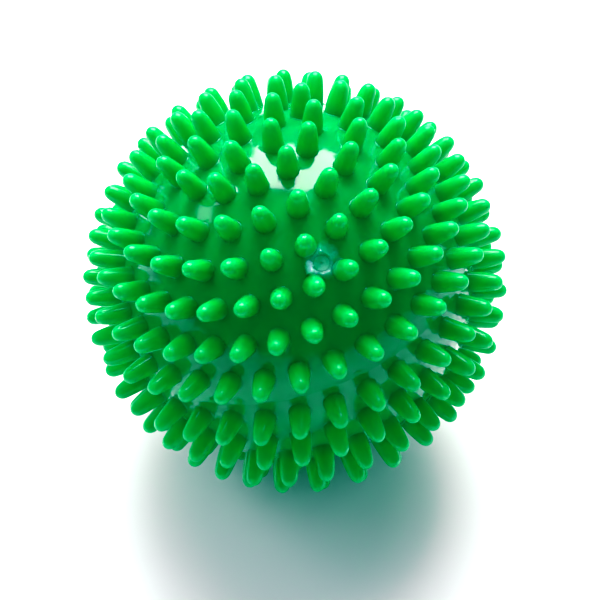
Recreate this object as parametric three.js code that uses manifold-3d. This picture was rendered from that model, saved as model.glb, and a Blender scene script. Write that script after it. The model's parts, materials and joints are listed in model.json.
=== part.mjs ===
// A hollow massage ball of soft PVC, covered in blunt spikes, with a small air valve in its skin.
// Millimetres, +Z up, origin at the centre of the ball. It stands on the tips of three spikes.
import * as THREE from "three";
import { ConvexHull } from "three/addons/math/ConvexHull.js";
import { mergeVertices } from "three/addons/utils/BufferGeometryUtils.js";
import Module from "manifold-3d";

const wasm = await Module();
wasm.setup();

// The ball: its radius over the spike tips, and the skin between the spikes.
const ballRadius = 50;
const skinRadius = 42;
const wallThickness = 2.6;
const cavityRadius = skinRadius - wallThickness;
const cavityDetail = 5;

// A spike: a six-sided cone from its root on the skin to a shoulder, closed by a blunt point.
const spikeSides = 6;
const spikeRootRadius = 2.8;
const spikeShoulderRadius = 1.8;
const spikeShoulderDrop = 1.05;

// The spikes stand in rings round the two poles of the mould. Each ring has its angle from its
// own pole in degrees, its number of spikes, and the place of its first spike round the ring as
// a share of the space between two spikes. The two halves meet in a wider gap at the parting line.
const upperRings = [
  { polar: 0, count: 1, shift: 0 },
  { polar: 12, count: 6, shift: 0.88 },
  { polar: 22, count: 13, shift: 0.58 },
  { polar: 34.4, count: 19, shift: 0.52 },
  { polar: 46, count: 24, shift: 0.09 },
  { polar: 57.4, count: 30, shift: 0.06 },
  { polar: 69, count: 33, shift: 0.62 },
  { polar: 80.9, count: 33, shift: 0.88 },
];
const lowerRings = [
  { polar: 0, count: 1, shift: 0 },
  { polar: 12, count: 6, shift: 0 },
  { polar: 22.5, count: 13, shift: 0.5 },
  { polar: 35, count: 19, shift: 0.5 },
  { polar: 47.2, count: 24, shift: 0.19 },
  { polar: 60.3, count: 29, shift: 0.28 },
  { polar: 72.8, count: 32, shift: 0.88 },
  { polar: 84.2, count: 33, shift: 0.48 },
];

// The ball leans until one spike of the first lower ring and two of the second touch the floor.
const [, footRing, braceRing] = lowerRings;
const footPolar = THREE.MathUtils.degToRad(footRing.polar);
const bracePolar = THREE.MathUtils.degToRad(braceRing.polar);
const braceTurn = Math.PI / braceRing.count;
const leanAngle = Math.atan2(
  Math.cos(footPolar) - Math.cos(bracePolar),
  Math.sin(bracePolar) * Math.cos(braceTurn) - Math.sin(footPolar),
);
const leanHeading = THREE.MathUtils.degToRad(156.5);

// The air valve: a plug that presses into a seat bonded behind a hole in the skin. Its faces and
// ends are distances from the ball's centre.
const valvePolar = 52.4;
const valveTurn = 139;
const clearance = 0.3;
const plugHeadRadius = 1.7;
const plugStemRadius = 1.1;
const stemRounding = 0.5;
const skinHoleRadius = plugHeadRadius + clearance;
const seatFlangeRadius = 3.6;
const seatFlangeThickness = 1.2;
const seatBodyRadius = 2.6;
const plugFace = skinRadius - 0.1;
const seatFace = cavityRadius - 0.8;
const seatEnd = seatFace - 5.3;
const plugStemEnd = seatEnd - 1;
const turnedSides = 24;

const pvc = { color: 0x0aa637, roughness: 0.22, metalness: 0 };
const valvePvc = { color: 0x1f9a6a, roughness: 0.18, metalness: 0 };

// The direction at an angle from the upper pole and a turn round it, both in degrees.
function directionAt(polar, turn) {
  const [p, t] = [polar, turn].map(THREE.MathUtils.degToRad);
  return new THREE.Vector3(
    Math.sin(p) * Math.cos(t),
    Math.sin(p) * Math.sin(t),
    Math.cos(p),
  );
}

// One direction for each spike of the ball.
function spikeDirections() {
  const ring = (polar, count, shift) =>
    Array.from({ length: count }, (_, i) =>
      directionAt(polar, ((i + shift) * 360) / count),
    );
  return [
    ...upperRings.flatMap((r) => ring(r.polar, r.count, r.shift)),
    ...lowerRings.flatMap((r) => ring(180 - r.polar, r.count, r.shift)),
  ];
}

// A ring of points round an axis through the ball's centre, at a distance from the centre.
function pointsRound(axis, radius, distance) {
  const side = new THREE.Vector3(0, 0, 1).cross(axis);
  if (side.length() < 1e-6) side.set(1, 0, 0);
  side.normalize();
  const other = axis.clone().cross(side);
  return Array.from({ length: spikeSides }, (_, i) => {
    const angle = (i * 2 * Math.PI) / spikeSides;
    return axis
      .clone()
      .multiplyScalar(distance)
      .addScaledVector(side, radius * Math.cos(angle))
      .addScaledVector(other, radius * Math.sin(angle));
  });
}

// The closed outer surface: the skin stretched between the spikes' roots, and the spikes' walls.
function spikedSurface() {
  const rootDistance = Math.sqrt(skinRadius ** 2 - spikeRootRadius ** 2);
  const shoulderDistance = ballRadius - spikeShoulderDrop;
  const spikes = spikeDirections().map((axis) => ({
    centre: axis.clone().multiplyScalar(skinRadius),
    root: pointsRound(axis, spikeRootRadius, rootDistance),
    shoulder: pointsRound(axis, spikeShoulderRadius, shoulderDistance),
    tip: axis.clone().multiplyScalar(ballRadius),
  }));
  const corners = [];
  const centres = new Set(spikes.map((spike) => spike.centre));
  const hull = new ConvexHull().setFromPoints(
    spikes.flatMap((spike) => [spike.centre, ...spike.root]),
  );
  for (const face of hull.faces) {
    const points = [face.edge, face.edge.next, face.edge.prev].map(
      (edge) => edge.head().point,
    );
    if (!points.some((point) => centres.has(point))) corners.push(...points);
  }
  for (const { root, shoulder, tip } of spikes) {
    for (let i = 0; i < spikeSides; i++) {
      const next = (i + 1) % spikeSides;
      corners.push(root[i], root[next], shoulder[next]);
      corners.push(root[i], shoulder[next], shoulder[i]);
      corners.push(shoulder[i], shoulder[next], tip);
    }
  }
  return new THREE.BufferGeometry().setFromPoints(corners);
}

// A geometry as a solid, and a solid as a geometry.
function toSolid(geometry) {
  const bare = geometry.clone();
  bare.deleteAttribute("normal");
  bare.deleteAttribute("uv");
  const merged = mergeVertices(bare, 1e-4);
  return new wasm.Manifold(
    new wasm.Mesh({
      numProp: 3,
      vertProperties: merged.attributes.position.array,
      triVerts: new Uint32Array(merged.index.array),
    }),
  );
}

function toGeometry(solid) {
  const { vertProperties, triVerts } = solid.getMesh();
  return new THREE.BufferGeometry()
    .setAttribute("position", new THREE.BufferAttribute(vertProperties, 3))
    .setIndex(new THREE.BufferAttribute(triVerts, 1));
}

// A turned solid on the valve's axis, from points of [radius, distance from the ball's centre].
function turnedOnValve(profile) {
  const outline = profile.map(([radius, height]) => new THREE.Vector2(radius, height));
  const turned = new THREE.LatheGeometry(outline, turnedSides);
  const up = new THREE.Vector3(0, 1, 0);
  const axis = directionAt(valvePolar, valveTurn);
  return turned.applyQuaternion(
    new THREE.Quaternion().setFromUnitVectors(up, axis),
  );
}

// The skin and its spikes, moulded in one piece round an air space, with the valve's hole.
function shellGeometry() {
  const cavity = new THREE.IcosahedronGeometry(cavityRadius, cavityDetail);
  const hole = turnedOnValve([
    [0, seatEnd],
    [skinHoleRadius, seatEnd],
    [skinHoleRadius, ballRadius],
    [0, ballRadius],
  ]);
  return toGeometry(
    toSolid(spikedSurface()).subtract(toSolid(cavity)).subtract(toSolid(hole)),
  );
}

// The seat: a flanged sleeve inside the skin, which grips the plug's stem.
function seatGeometry() {
  const bore = plugStemRadius + clearance;
  return turnedOnValve([
    [bore, seatEnd],
    [seatBodyRadius, seatEnd],
    [seatBodyRadius, seatFace - seatFlangeThickness],
    [seatFlangeRadius, seatFace - seatFlangeThickness],
    [seatFlangeRadius, seatFace],
    [bore, seatFace],
    [bore, seatEnd],
  ]);
}

// The plug: a flat head flush with the skin, and a stem with a rounded end.
function plugGeometry() {
  const headBack = seatFace + clearance;
  return turnedOnValve([
    [0, plugStemEnd],
    [plugStemRadius - stemRounding, plugStemEnd],
    [plugStemRadius, plugStemEnd + stemRounding],
    [plugStemRadius, headBack],
    [plugHeadRadius, headBack],
    [plugHeadRadius, plugFace],
    [0, plugFace],
  ]);
}

function part(name, geometry, look) {
  const mesh = new THREE.Mesh(geometry, new THREE.MeshStandardMaterial(look));
  mesh.name = name;
  return mesh;
}

const ball = new THREE.Group();
ball.add(part("spiked_shell", shellGeometry(), pvc));
ball.add(part("valve_seat", seatGeometry(), valvePvc));
ball.add(part("valve_plug", plugGeometry(), valvePvc));
ball.rotation.set(0, leanAngle, leanHeading, "ZYX");

const massageBall = new THREE.Group();
massageBall.add(ball);

export default massageBall;
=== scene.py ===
import json
import math

import bpy
import numpy as np
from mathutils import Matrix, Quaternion, Vector, noise
from mathutils.geometry import delaunay_2d_cdt


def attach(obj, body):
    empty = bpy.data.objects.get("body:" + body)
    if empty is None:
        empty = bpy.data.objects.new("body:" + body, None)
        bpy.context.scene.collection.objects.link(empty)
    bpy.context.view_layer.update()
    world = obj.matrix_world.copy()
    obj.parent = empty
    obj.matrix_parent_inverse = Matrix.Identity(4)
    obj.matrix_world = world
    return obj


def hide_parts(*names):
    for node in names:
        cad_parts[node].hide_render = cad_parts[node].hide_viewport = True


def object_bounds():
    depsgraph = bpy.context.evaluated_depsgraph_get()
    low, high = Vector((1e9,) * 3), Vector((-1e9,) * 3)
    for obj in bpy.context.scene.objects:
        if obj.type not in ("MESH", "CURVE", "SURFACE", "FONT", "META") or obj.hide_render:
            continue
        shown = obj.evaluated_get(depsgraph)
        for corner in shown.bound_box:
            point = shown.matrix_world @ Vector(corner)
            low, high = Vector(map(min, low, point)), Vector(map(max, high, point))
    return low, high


# The looks of a hollow vinyl massage ball, in metres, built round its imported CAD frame.
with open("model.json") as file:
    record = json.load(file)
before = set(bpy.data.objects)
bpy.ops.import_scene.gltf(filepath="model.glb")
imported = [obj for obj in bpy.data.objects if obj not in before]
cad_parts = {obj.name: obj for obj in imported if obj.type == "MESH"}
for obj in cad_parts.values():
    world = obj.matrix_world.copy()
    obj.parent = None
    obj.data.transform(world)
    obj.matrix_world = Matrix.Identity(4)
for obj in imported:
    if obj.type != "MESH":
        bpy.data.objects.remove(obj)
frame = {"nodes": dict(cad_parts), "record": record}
cad_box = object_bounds()
record = frame["record"]

MM = 0.001
GOLDEN_TURN = math.pi * (1 + 5**0.5)
seed = np.random.default_rng(7)

# The ball. The spikes' tips and the valve's axis come from the frame.
SKIN_RADIUS = 42 * MM
CAVITY_RADIUS = 39.4 * MM
SKIN_SPACING = 1.3 * MM
CAVITY_SPACING = 3.2 * MM
CREASE = 50
TIP_TOLERANCE = 0.01 * MM
FOOT_TOLERANCE = 0.05 * MM

# A spike, from the rim of its root fillet to its blunt tip. The steps are degrees along the fillet,
# shares of the wall's height, and degrees from the tip along the cap.
SPIKE_SIDES = 20
RIM_RADIUS = 2.64 * MM
ROOT_RADIUS = 2.46 * MM
FILLET_HEIGHT = 0.22 * MM
CAP_RADIUS = 1.9 * MM
CAP_HEIGHT = 2.3 * MM
FILLET_STEPS = (0, 30, 60, 90)
WALL_STEPS = (0.3, 0.55, 0.78)
CAP_STEPS = (78.5, 66, 53, 40, 27, 14)
MOST_BEND = 0.28 * MM
MOST_SHORTER = 0.12 * MM
BEND_POWER = 1.5
RIM_TO_HOLE = 0.06 * MM
RIM_TO_SKIN = 0.25 * MM

# The line where the two halves of the mould met, round the mould's pole.
POLE_LEAN = math.radians(18.346)
POLE_HEADING = math.radians(156.5)
SEAM_HEIGHT = 0.07 * MM
SEAM_HALF_WIDTH = 0.28 * MM
SEAM_CLEARANCE = 3 * SEAM_HALF_WIDTH
SEAM_SPACING = 0.8 * MM

# The valve's hole in the skin. Half way round the rounding of its edge, the edge has been cut back
# by the bevel, a share of the rounding.
TURNED_SIDES = 48
TURNED_CREASE = 40
HOLE_RADIUS = 1.84 * MM
HOLE_ROUNDING = 0.08 * MM
HOLE_BEVEL = 0.3
HOLE_EDGE = HOLE_RADIUS + HOLE_ROUNDING
HOLE_TO_SKIN = 0.1 * MM

# The plug in it. The dimple in its face: radius and depth of each ring, in mm.
PLUG_HEAD = 1.8 * MM
PLUG_EDGE = 0.14 * MM
PLUG_BEVEL = 0.1 * MM
STEM_RADIUS = 1.1 * MM
STEM_ROUNDING = 0.5 * MM
STEM_FILLET = 0.15 * MM
STEM_LENGTH = 6.6 * MM
DIMPLE = (
    (1.3, 0.03),
    (1.05, 0.16),
    (0.75, 0.24),
    (0.45, 0.26),
    (0.3, 0.34),
    (0.2, 0.6),
    (0, 0.66),
)

# The seat behind it, bonded to the inside of the skin.
SEAT_BORE = 1.4 * MM
SEAT_BODY = 2.6 * MM
SEAT_FLANGE = 3.6 * MM
SEAT_FLANGE_THICKNESS = 1.2 * MM
SEAT_BEVEL = 0.2 * MM

# The bead of adhesive round the plug: a ring, which starts past the hole's edge and falls off before
# a spike, and a thin smear, as a share of the ring's height and of the reach of it all. Noise, in
# waves to a metre, moves the ring and its height by these shares.
BEAD_RADIUS = 2.45 * MM
BEAD_WIDTH = 0.42 * MM
BEAD_HEIGHT = 0.32 * MM
BEAD_REACH = 4.8 * MM
BEAD_SPACING = 0.15 * MM
BEAD_FALL = 0.35 * MM
BEAD_START = 0.3 * MM
SMEAR_HEIGHT, SMEAR_REACH = 0.35, 0.7
BEAD_WAVES = 700
BEAD_WANDER, BEAD_UNEVEN = 0.18, 0.9

# Round lumps of the adhesive: sideways and upwards from the valve's axis, half width and height,
# in mm.
LUMPS = (
    (-1.2, -2.6, 0.7, 0.25),
    (0.9, -2.7, 0.9, 0.4),
    (2.6, 0.9, 0.9, 0.3),
    (0.2, 2.9, 1.0, 0.3),
)

# A run of the adhesive that faces up: the middle of its crest sideways and upwards from the valve's
# axis, half width, height at the crest, all in mm, and its slopes upwards and to the right.
RUN_MIDDLE, RUN_CREST = -2.7, -1.9
RUN_HALF_WIDTH, RUN_SQUARENESS = 0.95, 6
RUN_TALL = 1.2
RUN_SLOPE_UP, RUN_SLOPE_RIGHT = 0.5, 0.14
RUN_DROP = 0.35

# Two spikes above the valve lean left: where each is rooted beside the valve's axis, and how far its
# tip is moved to the right, in mm.
LEANING = (
    ((-4.1, 2.75), -0.7),
    ((2.1, 5.6), -0.9),
)

valve_mount = record["mounts"][0]
valve_axis = Vector(valve_mount["axis"]).normalized()
plug_face = Vector(valve_mount["pos_m"]).length
ball_radius = max(v.co.length for v in frame["nodes"]["spiked_shell"].data.vertices)


def spike_axes():
    """The direction of each spike: the CAD shell's vertices that lie farthest out are the tips."""
    found = {}
    for vertex in frame["nodes"]["spiked_shell"].data.vertices:
        if vertex.co.length > ball_radius - TIP_TOLERANCE:
            axis = vertex.co.normalized()
            found[tuple(round(x, 3) for x in axis)] = np.array(axis)
    return [found[key] for key in sorted(found)]


def sideways(axis):
    """Two directions square to an axis and to each other."""
    axis = np.array(axis)
    first = np.cross([0.0, 0.0, 1.0], axis)
    if np.linalg.norm(first) < 1e-4:
        first = np.array([1.0, 0.0, 0.0])
    first /= np.linalg.norm(first)
    return first, np.cross(axis, first)


def ring(axis, radius, distance, sides, offset=(0, 0, 0)):
    """Points round an axis through the ball's centre, at a distance from the centre."""
    first, second = sideways(axis)
    turns = np.arange(sides) * 2 * math.pi / sides
    round_axis = np.outer(np.cos(turns), first) + np.outer(np.sin(turns), second)
    return np.array(axis) * distance + round_axis * radius + np.array(offset)


def sphere_points(spacing, radius):
    """Unit directions spread evenly, about one spacing apart at that radius."""
    count = int(4 * math.pi * radius**2 / spacing**2)
    i = np.arange(count) + 0.5
    height = 1 - 2 * i / count
    turn = GOLDEN_TURN * i
    flat = np.sqrt(1 - height**2)
    return np.stack([flat * np.cos(turn), flat * np.sin(turn), height], 1)


def disc_points(axis, spacing, first_radius, last_radius, radius):
    """Unit directions spread evenly in a ring round an axis."""
    first, second = sideways(axis)
    i = np.arange(int(math.pi * last_radius**2 / spacing**2))
    out = spacing * np.sqrt((i + 0.5) / math.pi)
    turn = GOLDEN_TURN * i
    points = np.array(axis) * radius + (out * np.cos(turn))[:, None] * first
    points = points + (out * np.sin(turn))[:, None] * second
    points = points[out > first_radius]
    return points / np.linalg.norm(points, axis=1)[:, None]


def web(points, hole_axis):
    """Triangles over points round the centre, joined as seen from the hole, which stays open."""
    unit = points / np.linalg.norm(points, axis=1)[:, None]
    first, second = sideways(hole_axis)
    away = 1 - unit @ np.array(hole_axis)
    flat = np.stack([unit @ first / away, unit @ second / away], 1)
    result = delaunay_2d_cdt([Vector(p) for p in flat], [], [], 0, 1e-9, True)
    triangles, came_from = result[2:4]
    faces = np.array([[came_from[v][0] for v in triangle] for triangle in triangles])
    corners = points[faces]
    normals = np.cross(corners[:, 1] - corners[:, 0], corners[:, 2] - corners[:, 0])
    inward = np.sum(normals * corners.sum(1), 1) < 0
    faces[inward] = faces[inward][:, ::-1]
    return faces


def band(lower, upper):
    """Quads between two rings of vertex numbers, facing out when upper is farther along."""
    after = np.roll(lower, -1), np.roll(upper, -1)
    return np.stack([lower, after[0], after[1], upper], 1)


def new_mesh(name, points, faces, crease=CREASE):
    """A smooth mesh, sharp where faces meet at more than the crease angle, in degrees."""
    mesh = bpy.data.meshes.new(name)
    mesh.from_pydata(np.asarray(points).tolist(), [], [list(map(int, f)) for f in faces])
    mesh.shade_smooth()
    mesh.set_sharp_from_angle(angle=math.radians(crease))
    mesh.validate()
    made = bpy.data.objects.new(name, mesh)
    bpy.context.scene.collection.objects.link(made)
    return made


def skin_distance(radius):
    """How far from the ball's centre the plane of a ring on the skin lies."""
    return math.sqrt(SKIN_RADIUS**2 - radius**2)


def spike_profile(rim):
    """(radius, height) of each ring of a spike, how far out its rim stands and how tall it is."""
    stands = skin_distance(rim)
    tall = ball_radius - stands

    # The cap is part of an ellipse, and the wall runs into it without a corner.
    cap = [
        (CAP_RADIUS * math.sin(turn), tall - CAP_HEIGHT * (1 - math.cos(turn)))
        for turn in map(math.radians, CAP_STEPS)
    ]
    wall_top, wall_height = cap[0]
    lean = CAP_RADIUS / CAP_HEIGHT / math.tan(math.radians(CAP_STEPS[0]))
    power = lean * wall_height / (ROOT_RADIUS - wall_top)

    def wall(height):
        return ROOT_RADIUS - (ROOT_RADIUS - wall_top) * (height / wall_height) ** power

    profile = []
    for degrees in FILLET_STEPS:
        turn = math.radians(degrees)
        height = FILLET_HEIGHT * (1 - math.cos(turn))
        flare = (rim - wall(0)) * (1 - math.sin(turn))
        profile.append((wall(height) + flare, height))
    for share in WALL_STEPS:
        profile.append((wall(share * wall_height), share * wall_height))
    return profile + cap, stands, tall


def valve_directions():
    """Square to the valve's axis: level, to the right as seen from outside, and upward."""
    level = Vector((0, 0, 1)).cross(valve_axis).normalized()
    return level, valve_axis.cross(level)


def beside_valve(sideways_mm, upwards_mm):
    """A point of the skin's tangent plane at the valve."""
    level, upward = valve_directions()
    return valve_axis * SKIN_RADIUS + level * sideways_mm * MM + upward * upwards_mm * MM


def bead_height(point, room):
    """How far the adhesive stands above the skin at a point, with that much room to a spike."""
    level, upward = valve_directions()
    across, along = point.dot(level), point.dot(upward)
    reach = math.hypot(across, along)
    wobble = noise.noise(Vector((across, along, 0)) * BEAD_WAVES)
    crest = BEAD_RADIUS * (1 + BEAD_WANDER * wobble)
    ridge = math.exp(-(((reach - crest) / BEAD_WIDTH) ** 2))
    smear = SMEAR_HEIGHT * math.exp(-((reach / (BEAD_REACH * SMEAR_REACH)) ** 2)) * (1 + wobble)
    rightward = 0.5 + 0.5 * across / max(reach, BEAD_SPACING)
    height = BEAD_HEIGHT * (ridge * rightward * (1 + BEAD_UNEVEN * wobble) + smear)
    for middle, level_mm, half, tall in LUMPS:
        away = math.hypot(across / MM - middle, along / MM - level_mm)
        height += tall * MM * math.exp(-((away / half) ** 2))
    right, above = across / MM - RUN_MIDDLE, along / MM - RUN_CREST
    run = RUN_TALL - RUN_SLOPE_UP * above - RUN_SLOPE_RIGHT * right
    if above < 0:
        run = RUN_TALL * (1 + above / RUN_DROP)
    height += MM * max(0, run) * math.exp(-((right / RUN_HALF_WIDTH) ** RUN_SQUARENESS))
    off_plug = min(1, max(0, (reach - HOLE_RADIUS - HOLE_ROUNDING) / BEAD_START))
    off_spike = min(1, max(0, room / BEAD_FALL))
    return height * off_plug * off_spike


def mould_pole():
    """The direction from the ball's centre to the mould's upper pole."""
    return np.array([
        math.sin(POLE_LEAN) * math.cos(POLE_HEADING),
        math.sin(POLE_LEAN) * math.sin(POLE_HEADING),
        math.cos(POLE_LEAN),
    ])


def rim_radii(axes):
    """The radius of each spike's rim, smaller where it would run into the valve's hole."""
    rims = []
    for axis in axes:
        to_valve = SKIN_RADIUS * math.acos(min(1, axis @ np.array(valve_axis)))
        rims.append(min(RIM_RADIUS, to_valve - HOLE_EDGE - RIM_TO_HOLE))
    return rims


def rim_start(spike):
    """The number of the first vertex of a spike's rim: they come after the hole's edge."""
    return TURNED_SIDES + spike * SPIKE_SIDES


def skin_points(axes, rims, pole):
    """Points of the skin: the hole's edge, the rims of the spikes, an even fill and the seam."""
    valve = np.array(valve_axis)
    points = [ring(valve, HOLE_EDGE, skin_distance(HOLE_EDGE), TURNED_SIDES)]
    for axis, rim in zip(axes, rims):
        points.append(ring(axis, rim, skin_distance(rim), SPIKE_SIDES))
    fill = sphere_points(SKIN_SPACING, SKIN_RADIUS)
    fill = fill[np.abs(fill @ pole) * SKIN_RADIUS > SEAM_CLEARANCE]
    fill = fill[fill @ valve < math.cos(BEAD_REACH / SKIN_RADIUS)]
    near_valve = disc_points(valve, BEAD_SPACING, HOLE_EDGE + HOLE_TO_SKIN, BEAD_REACH, SKIN_RADIUS)
    seam_sides = int(2 * math.pi * SKIN_RADIUS / SEAM_SPACING)
    seam = [ring(pole, 1, side * SEAM_HALF_WIDTH / SKIN_RADIUS, seam_sides) for side in (-1, 0, 1)]
    free = np.concatenate([fill, near_valve, *seam])
    for axis, rim in zip(axes, rims):
        free = free[free @ axis < math.cos((rim + RIM_TO_SKIN) / SKIN_RADIUS)]
    free /= np.linalg.norm(free, axis=1)[:, None]
    points.append(free * SKIN_RADIUS)
    return np.concatenate(points)


def skin_faces(points, spikes):
    """Triangles over the skin, without those that would close a spike's rim."""
    faces = web(points, np.array(valve_axis))
    owner = np.full(len(points), -1)
    for i in range(spikes):
        owner[rim_start(i) : rim_start(i + 1)] = i
    owners = owner[faces]
    capped = (owners[:, 0] >= 0) & (owners[:, 0] == owners[:, 1]) & (owners[:, 1] == owners[:, 2])
    return [tuple(face) for face in faces[~capped]]


def raised(points, axes, rims, pole):
    """The points of the skin with the seam raised a little, and the adhesive round the valve."""
    valve = np.array(valve_axis)
    heights = np.zeros(len(points))
    for i in range(rim_start(len(axes)), len(points)):
        if abs(points[i] @ pole) < 0.5 * SEAM_HALF_WIDTH:
            heights[i] += SEAM_HEIGHT
        if points[i] @ valve > SKIN_RADIUS * math.cos(BEAD_REACH / SKIN_RADIUS):
            apart = SKIN_RADIUS * np.arccos(np.array(axes) @ points[i] / SKIN_RADIUS)
            heights[i] += bead_height(Vector(points[i]), (apart - np.array(rims)).min())
    return points * (1 + heights / SKIN_RADIUS)[:, None]


def leaning_spikes(axes):
    """How far the tip of each leaning spike is moved level to the right, by the spike's number."""
    leans = {}
    for rooted, lean in LEANING:
        root = np.array(beside_valve(*rooted))
        leans[max(range(len(axes)), key=lambda i: axes[i] @ root)] = lean * MM
    return leans


def add_spikes(points, faces, axes, rims):
    """Every spike above its rim, slightly bent and shortened; returns the number of points so far."""
    leans = leaning_spikes(axes)
    level = np.array(valve_directions()[0])
    count = len(points[0])
    for i, (axis, rim) in enumerate(zip(axes, rims)):
        profile, stands, tall = spike_profile(rim)
        bend, shorter = seed.uniform(-1, 1, 2) * MOST_BEND, seed.uniform(0, MOST_SHORTER)
        if axis[2] * ball_radius < cad_box[0][2] + FOOT_TOLERANCE:
            bend, shorter = bend * 0, 0
        first, second = sideways(axis)
        side = first * bend[0] + second * bend[1]
        if i in leans:
            side = level * leans[i]
        last = np.arange(rim_start(i), rim_start(i + 1))
        for radius, height in profile[1:]:
            share = height / tall
            offset = side * share**BEND_POWER - axis * shorter * share
            points.append(ring(axis, radius, stands + height, SPIKE_SIDES, offset))
            here = np.arange(count, count + SPIKE_SIDES)
            count += SPIKE_SIDES
            faces += [tuple(face) for face in band(last, here)]
            last = here
        points.append([axis * ball_radius + side - axis * shorter])
        faces += [(a, b, count) for a, b in zip(last, np.roll(last, -1))]
        count += 1
    return count


def add_hole_and_cavity(points, faces, count):
    """The hole's rounded edge and its wall down to the cavity, then the cavity inside."""
    valve = np.array(valve_axis)
    hole_at = skin_distance(HOLE_EDGE)
    bevel = HOLE_BEVEL * HOLE_ROUNDING
    last = np.arange(TURNED_SIDES)
    for radius, distance in (
        (HOLE_RADIUS + bevel, hole_at - bevel),
        (HOLE_RADIUS, hole_at - HOLE_ROUNDING),
        (HOLE_RADIUS, math.sqrt(CAVITY_RADIUS**2 - HOLE_RADIUS**2)),
    ):
        points.append(ring(valve, radius, distance, TURNED_SIDES))
        here = np.arange(count, count + TURNED_SIDES)
        count += TURNED_SIDES
        faces += [tuple(face) for face in band(here, last)[:, ::-1]]
        last = here
    inside = sphere_points(CAVITY_SPACING, CAVITY_RADIUS)
    inside = inside[inside @ valve < math.cos((HOLE_RADIUS + CAVITY_SPACING / 2) / CAVITY_RADIUS)]
    points.append(inside * CAVITY_RADIUS)
    inner = np.concatenate([points[-2], points[-1]])
    inner_faces = web(inner, valve)[:, ::-1] + last[0]
    faces += [tuple(face) for face in inner_faces]


def spiked_skin():
    """One closed surface: the skin, its spikes, the hole for the valve and the cavity inside."""
    axes = spike_axes()
    rims = rim_radii(axes)
    pole = mould_pole()
    flush = skin_points(axes, rims, pole)
    faces = skin_faces(flush, len(axes))
    points = [raised(flush, axes, rims, pole)]
    count = add_spikes(points, faces, axes, rims)
    add_hole_and_cavity(points, faces, count)
    return new_mesh("spiked_skin", np.concatenate(points), faces)


def turned(name, profile, closed):
    """A piece turned round the valve's axis, from (radius, distance from the ball's centre)."""
    points, faces, last, count = [], [], None, 0
    rings = list(profile) + ([profile[0]] if closed else [])
    for number, (radius, distance) in enumerate(rings):
        if closed and number == len(rings) - 1:
            here = np.arange(TURNED_SIDES)
        elif radius == 0:
            points.append([np.array(valve_axis) * distance])
            here = np.full(TURNED_SIDES, count)
            count += 1
        else:
            points.append(ring(valve_axis, radius, distance, TURNED_SIDES))
            here = np.arange(count, count + TURNED_SIDES)
            count += TURNED_SIDES
        if last is not None:
            for quad in band(last, here):
                faces.append(list(dict.fromkeys(quad.tolist())))
        last = here
    return new_mesh(name, np.concatenate(points), faces, TURNED_CREASE)


def arc(centre_radius, centre_distance, radius, start, stop, steps):
    """Points of an arc, from start to stop in degrees, where 0 is straight out and 90 straight up."""
    turns = np.radians(np.linspace(start, stop, steps))
    return [
        (centre_radius + radius * math.cos(t), centre_distance + radius * math.sin(t))
        for t in turns
    ]


def cad_reach(node):
    """The nearest and farthest point of a CAD node along the valve's axis."""
    along = [vertex.co.dot(valve_axis) for vertex in frame["nodes"][node].data.vertices]
    return min(along), max(along)


def valve_plug():
    end = cad_reach("valve_plug")[0]
    back = end + STEM_LENGTH
    profile = [(0, end)]
    profile += arc(STEM_RADIUS - STEM_ROUNDING, end + STEM_ROUNDING, STEM_ROUNDING, -90, 0, 7)[1:]
    profile += [(STEM_RADIUS, back - STEM_FILLET), (STEM_RADIUS + STEM_FILLET, back)]
    profile += [(PLUG_HEAD - PLUG_BEVEL, back), (PLUG_HEAD, back + PLUG_BEVEL)]
    profile += arc(PLUG_HEAD - PLUG_EDGE, plug_face - PLUG_EDGE, PLUG_EDGE, 0, 90, 5)
    profile += [(radius * MM, plug_face - depth * MM) for radius, depth in DIMPLE]
    return turned("soft_plug", profile, closed=False)


def valve_seat():
    end, face = cad_reach("valve_seat")
    bevel, shoulder = SEAT_BEVEL, face - SEAT_FLANGE_THICKNESS
    profile = [(SEAT_BORE, end + bevel), (SEAT_BORE + bevel, end)]
    profile += [(SEAT_BODY - bevel, end), (SEAT_BODY, end + bevel)]
    profile += [(SEAT_BODY, shoulder - bevel), (SEAT_BODY + bevel, shoulder)]
    profile += [(SEAT_FLANGE - bevel, shoulder), (SEAT_FLANGE, shoulder + bevel)]
    profile += [(SEAT_FLANGE, face - bevel), (SEAT_FLANGE - bevel, face)]
    profile += [(SEAT_BORE + bevel, face), (SEAT_BORE, face - bevel)]
    return turned("bonded_seat", profile, closed=True)


# Colours, as linear red, green and blue.
# The skin's darker green is painted shade, where the spikes shade the skin between them.
SHADED_SKIN_COLOUR = (0.0, 0.298, 0.057)
SPIKE_COLOUR = (0.001, 0.43, 0.046)
# The tips' bluer green is a painted sheen.
TIP_SHEEN_COLOUR = (0.001, 0.43, 0.079)
TEAL = (0.03, 0.44, 0.2)
# Mint is a painted reflection on the valve's vinyl.
MINT_SHEEN = (0.25, 0.57, 0.36)
# Pale is a painted glint on the run of adhesive.
PAINTED_GLINT = (0.5, 0.98, 0.8)
FLOOR_COLOUR = (0.8, 0.81, 0.81)

# Heights above the skin: where the spikes are as rough as they get, where the painted shade on the
# skin between the spikes has faded into their full green, and where the painted sheen of their tips
# begins.
MATT_TO = 0.3 * MM
SKIN_SHADE_TO = 3.5 * MM
TIP_SHEEN_FROM = 3 * MM

# The patch of other vinyl at the valve: sideways, upwards, full radius and last radius, in mm, then
# the spots of colour in it, in the order they are laid: a painted mint reflection and two painted
# glints.
VALVE_PATCH = (0.2, 0.4, 2.5, 4.7)
VALVE_SPOTS = (
    ((0.5, -1.3, 0.4, 2.3), MINT_SHEEN),
    ((-2.5, -1.35, 0.75, 1.35), PAINTED_GLINT),
    ((-3.0, 0.35, 0.35, 0.9), PAINTED_GLINT),
)

# Most of a noise texture's values lie between these two.
NOISE_RANGE = (0.3, 0.7)

# A painted mint reflection, mottled over the valve's vinyl: its noise values from none to most, and
# the most mint in the teal.
SHEEN_MOTTLE_RANGE = (0.42, 0.62)
MOST_SHEEN = 0.55

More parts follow.
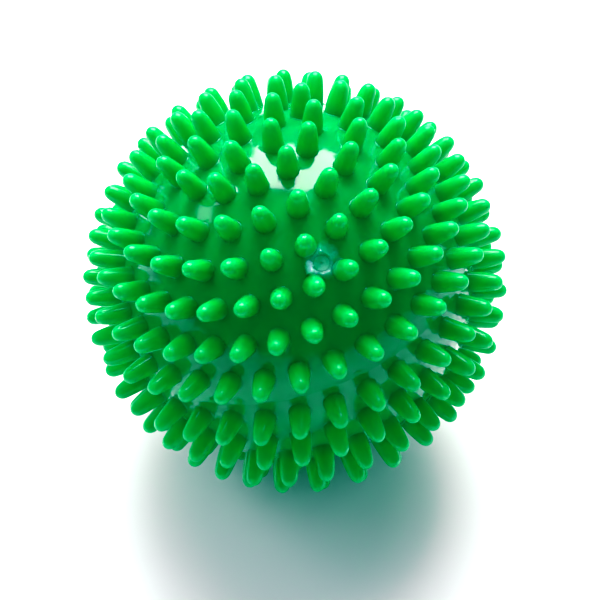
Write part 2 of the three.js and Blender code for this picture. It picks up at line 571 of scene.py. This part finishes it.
SKIN_ROUGHNESS = 0.1
PATCH_ROUGHNESS = 0.15
GREEN_VINYL = {
    "IOR": 1.3,
    "Coat Weight": 0.5,
    "Coat Roughness": 0.11,
    "Subsurface Weight": 0.8,
    "Subsurface Radius": (0.3, 1.0, 0.4),
    "Subsurface Scale": 5 * MM,
}
VALVE_VINYL = {
    "IOR": 1.42,
    "Subsurface Weight": 0.5,
    "Subsurface Radius": (0.4, 1.0, 0.7),
    "Subsurface Scale": 1.5 * MM,
}
FLOOR_PAINT = {"Roughness": 0.6}


def new_material(name, settings):
    material = bpy.data.materials.new(name)
    material.use_nodes = True
    tree = material.node_tree
    shader = tree.nodes["Principled BSDF"]
    for socket, value in settings.items():
        shader.inputs[socket].default_value = value
    return material, tree, shader


def add(tree, kind, **values):
    node = tree.nodes.new("ShaderNode" + kind)
    for key, value in values.items():
        setattr(node, key, value)
    return node


def noise_at(tree, waves, detail=3.0):
    """Noise in the piece's own coordinates, with about that many waves to a metre."""
    coordinates = add(tree, "TexCoord")
    texture = add(tree, "TexNoise")
    texture.inputs["Scale"].default_value = waves
    texture.inputs["Detail"].default_value = detail
    tree.links.new(coordinates.outputs["Object"], texture.inputs["Vector"])
    return texture.outputs["Fac"]


def map_range(tree, value, low, high, to_low, to_high):
    """Low becomes to_low, high becomes to_high, and the change between them is smooth."""
    node = add(tree, "MapRange", interpolation_type="SMOOTHSTEP")
    tree.links.new(value, node.inputs["Value"])
    node.inputs["From Min"].default_value = low
    node.inputs["From Max"].default_value = high
    node.inputs["To Min"].default_value = to_low
    node.inputs["To Max"].default_value = to_high
    return node.outputs["Result"]


def uneven(tree, waves, low, high):
    """A value that wanders between low and high over the surface."""
    return map_range(tree, noise_at(tree, waves), *NOISE_RANGE, low, high)


def plug_in(tree, socket, value):
    """Link an output to a socket, or set a number or a colour on it."""
    if isinstance(value, bpy.types.NodeSocket):
        tree.links.new(value, socket)
    else:
        socket.default_value = (*value, 1) if isinstance(value, tuple) else value


def mix_colour(tree, factor, first, second, blend="MIX"):
    """In a Mix node, sockets 0, 6 and 7 and output 2 are those of its colours."""
    node = add(tree, "Mix", data_type="RGBA", blend_type=blend)
    for number, value in ((0, factor), (6, first), (7, second)):
        plug_in(tree, node.inputs[number], value)
    return node.outputs[2]


def mix_value(tree, factor, first, second):
    """In a Mix node, sockets 0, 2 and 3 and output 0 are those of its numbers."""
    node = add(tree, "Mix", data_type="FLOAT")
    for number, value in ((0, factor), (2, first), (3, second)):
        plug_in(tree, node.inputs[number], value)
    return node.outputs[0]


def distance_from(tree, point):
    coordinates = add(tree, "TexCoord")
    node = add(tree, "VectorMath", operation="DISTANCE")
    tree.links.new(coordinates.outputs["Object"], node.inputs[0])
    node.inputs[1].default_value = point
    return node.outputs["Value"]


def bump(tree, shader, height, strength, distance):
    """Small relief on the surface, of that depth at full strength."""
    node = add(tree, "Bump")
    node.inputs["Strength"].default_value = strength
    node.inputs["Distance"].default_value = distance
    tree.links.new(height, node.inputs["Height"])
    tree.links.new(node.outputs["Normal"], shader.inputs["Normal"])


def from_valve(tree, sideways_mm, upwards_mm, near, far):
    """1 within near mm of a point beside the valve's axis, falling to 0 at far mm, unevenly."""
    point = beside_valve(sideways_mm, upwards_mm)
    edge = uneven(tree, waves=500, low=-0.5 * MM, high=0.5 * MM)
    node = add(tree, "Math", operation="ADD")
    tree.links.new(distance_from(tree, tuple(point)), node.inputs[0])
    tree.links.new(edge, node.inputs[1])
    return map_range(tree, node.outputs[0], near * MM, far * MM, 1, 0)


def valve_colour(tree):
    """Teal with a mottled painted mint reflection, more painted mint reflection low on the right of
    the plug, and a nearly white painted glint on the run of adhesive at its left.
    """
    # A painted mint reflection, mottled over the teal.
    sheen_mottle = map_range(tree, noise_at(tree, waves=900), *SHEEN_MOTTLE_RANGE, 0, MOST_SHEEN)
    colour = mix_colour(tree, sheen_mottle, TEAL, MINT_SHEEN)
    # The spots: a painted mint reflection and painted glints.
    for place, tint in VALVE_SPOTS:
        colour = mix_colour(tree, from_valve(tree, *place), colour, tint)
    return colour


def green_vinyl():
    material, tree, shader = new_material("green_vinyl", GREEN_VINYL)
    out = distance_from(tree, (0, 0, 0))
    # Painted shade: the skin between the spikes is a darker green, up to where the spikes' own green
    # begins.
    height = map_range(tree, out, SKIN_RADIUS, SKIN_RADIUS + SKIN_SHADE_TO, 0, 1)
    colour = mix_colour(tree, height, SHADED_SKIN_COLOUR, SPIKE_COLOUR)
    # Painted sheen: the spikes' tips are a bluer green.
    tip = map_range(tree, out, SKIN_RADIUS + TIP_SHEEN_FROM, ball_radius, 0, 1)
    colour = mix_colour(tree, tip, colour, TIP_SHEEN_COLOUR)
    patches = uneven(tree, waves=90, low=0.88, high=1.0)
    colour = mix_colour(tree, 1.0, colour, patches, "MULTIPLY")
    near_valve = from_valve(tree, *VALVE_PATCH)
    colour = mix_colour(tree, near_valve, colour, valve_colour(tree))
    tree.links.new(colour, shader.inputs["Base Color"])
    matt = map_range(tree, out, SKIN_RADIUS, SKIN_RADIUS + MATT_TO, 0, 1)
    worn = uneven(tree, waves=140, low=0.46, high=0.52)
    roughness = mix_value(tree, matt, SKIN_ROUGHNESS, worn)
    roughness = mix_value(tree, near_valve, roughness, PATCH_ROUGHNESS)
    tree.links.new(roughness, shader.inputs["Roughness"])
    bump(tree, shader, noise_at(tree, waves=350, detail=2.0), strength=0.12, distance=0.15 * MM)
    return material


def valve_vinyl():
    material, tree, shader = new_material("valve_vinyl", VALVE_VINYL)
    tree.links.new(valve_colour(tree), shader.inputs["Base Color"])
    roughness = uneven(tree, waves=400, low=0.1, high=0.2)
    tree.links.new(roughness, shader.inputs["Roughness"])
    bump(tree, shader, noise_at(tree, waves=900, detail=2.0), strength=0.5, distance=0.2 * MM)
    return material


def floor_paint():
    material, tree, shader = new_material("studio_floor", FLOOR_PAINT)
    shade = uneven(tree, waves=8, low=0.97, high=1.0)
    colour = mix_colour(tree, 1.0, FLOOR_COLOUR, shade, "MULTIPLY")
    tree.links.new(colour, shader.inputs["Base Color"])
    return material


# The studio.
FLOOR_HALF = 6.0
CAMERA_DISTANCE = 0.5013
CAMERA_ELEVATION = 45.43
CAMERA_LENS = 127.4
CAMERA_SENSOR = 36
CAMERA_SHIFT = (0.0082, -0.0315)
WORLD_STRENGTH = 0.04

WHITE = (1.0, 1.0, 1.0)
COOL = (1.0, 1.0, 1.12)
CYAN = (0.96, 1, 1)
WARM = (1, 0.95, 0.85)
GLOSS, SHADE = "gloss", "shade"

# Each light: name, azimuth and elevation in degrees, distance and size in metres, watts, colour,
# roll in degrees, and whether it gives reflections or shade.
LIGHTS = (
    ("softbox_gloss", 180, 58, 0.9, (0.69, 0.59), 19, CYAN, -11, GLOSS),
    ("softbox_shade", 180, 57, 0.9, (0.65, 0.55), 15, WHITE, 0, SHADE),
    ("back_wide", 180, 55, 0.9, (1.1, 0.8), 12, WHITE, 0, SHADE),
    ("back_right", 138, 48, 1.2, (1.0, 1.0), 1.4, WHITE, 0, SHADE),
    ("lamp_left", 250, 34, 0.9, (0.25, 0.2), 1.35, WHITE, 0, SHADE),
    ("glint_left", 257, 37, 0.9, (0.26, 0.15), 0.6, WARM, 0, GLOSS),
    ("soft_left", 265, 38, 1.2, (0.9, 0.8), 5.1, COOL, 0, SHADE),
    ("soft_right", 95, 42, 1.2, (0.9, 0.8), 1.1, COOL, 0, SHADE),
    ("low_left", 215, 22, 0.9, (0.5, 0.25), 0.7, COOL, 0, SHADE),
    ("wall_front_right", 45, 38, 1.5, (1.7, 1.3), 6.1, COOL, 0, SHADE),
    ("wall_front_left", 315, 38, 1.5, (1.7, 1.3), 3.9, COOL, 0, SHADE),
)

# Points of the picture's red and blue curves. They hold both down in the shades, and leave the
# whites as they are.
RED_CURVE = ((0.06, 0.0), (0.15, 0.03), (0.27, 0.147), (0.33, 0.22), (0.42, 0.34), (0.56, 0.54))
BLUE_CURVE = ((0.05, 0.027), (0.15, 0.13), (0.4, 0.4))


def direction(azimuth, elevation):
    """Azimuth 0 is towards -Y, the camera's side, and 90 towards +X, in degrees."""
    a, e = math.radians(azimuth), math.radians(elevation)
    return Vector((math.sin(a) * math.cos(e), -math.cos(a) * math.cos(e), math.sin(e)))


def add_camera():
    camera = bpy.data.objects.new("camera", bpy.data.cameras.new("camera"))
    bpy.context.scene.collection.objects.link(camera)
    back = direction(0, CAMERA_ELEVATION)
    camera.location = back * CAMERA_DISTANCE
    camera.rotation_euler = back.to_track_quat("Z", "Y").to_euler()
    camera.data.lens = CAMERA_LENS
    camera.data.sensor_width = CAMERA_SENSOR
    camera.data.shift_x, camera.data.shift_y = CAMERA_SHIFT
    bpy.context.scene.camera = camera


def add_light(name, azimuth, elevation, distance, size, power, colour, roll, use):
    data = bpy.data.lights.new(name, "AREA")
    data.shape = "RECTANGLE"
    data.size, data.size_y = size
    data.energy = power
    data.color = colour
    light = bpy.data.objects.new(name, data)
    bpy.context.scene.collection.objects.link(light)
    back = direction(azimuth, elevation)
    light.location = back * distance
    light.visible_glossy = use == GLOSS
    light.visible_diffuse = use == SHADE
    rolled = Quaternion(back, math.radians(roll))
    light.rotation_euler = (rolled @ back.to_track_quat("Z", "Y")).to_euler()


def add_floor():
    lowest = cad_box[0][2]
    signs = ((-1, -1), (1, -1), (1, 1), (-1, 1))
    corners = [(x * FLOOR_HALF, y * FLOOR_HALF, lowest) for x, y in signs]
    floor = new_mesh("studio_floor", corners, [(0, 1, 2, 3)])
    floor.data.materials.append(floor_paint())


def add_world():
    world = bpy.data.worlds.new("studio")
    bpy.context.scene.world = world
    world.use_nodes = True
    background = world.node_tree.nodes["Background"]
    background.inputs["Color"].default_value = (*COOL, 1)
    background.inputs["Strength"].default_value = WORLD_STRENGTH


def set_view():
    view = bpy.context.scene.view_settings
    view.view_transform = "Standard"
    view.look = "None"
    view.use_curve_mapping = True
    curves = view.curve_mapping
    curves.extend = "EXTRAPOLATED"
    for curve, points in ((curves.curves[0], RED_CURVE), (curves.curves[2], BLUE_CURVE)):
        for at, value in points:
            curve.points.new(at, value)
    curves.update()


add_camera()
green, valve = green_vinyl(), valve_vinyl()
for piece, material, body, node, slot in (
    (spiked_skin(), green, "ball", "spiked_shell", "green_vinyl"),
    (valve_seat(), valve, "ball", "valve_seat", "valve_vinyl"),
    (valve_plug(), valve, "plug", "valve_plug", "valve_vinyl"),
):
    piece.data.materials.append(material)
    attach(piece, body)
    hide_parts(node)
    frame["nodes"][node].data.materials.clear()
    frame["nodes"][node].data.materials.append(material)

add_floor()
add_world()
for light in LIGHTS:
    add_light(*light)
set_view()
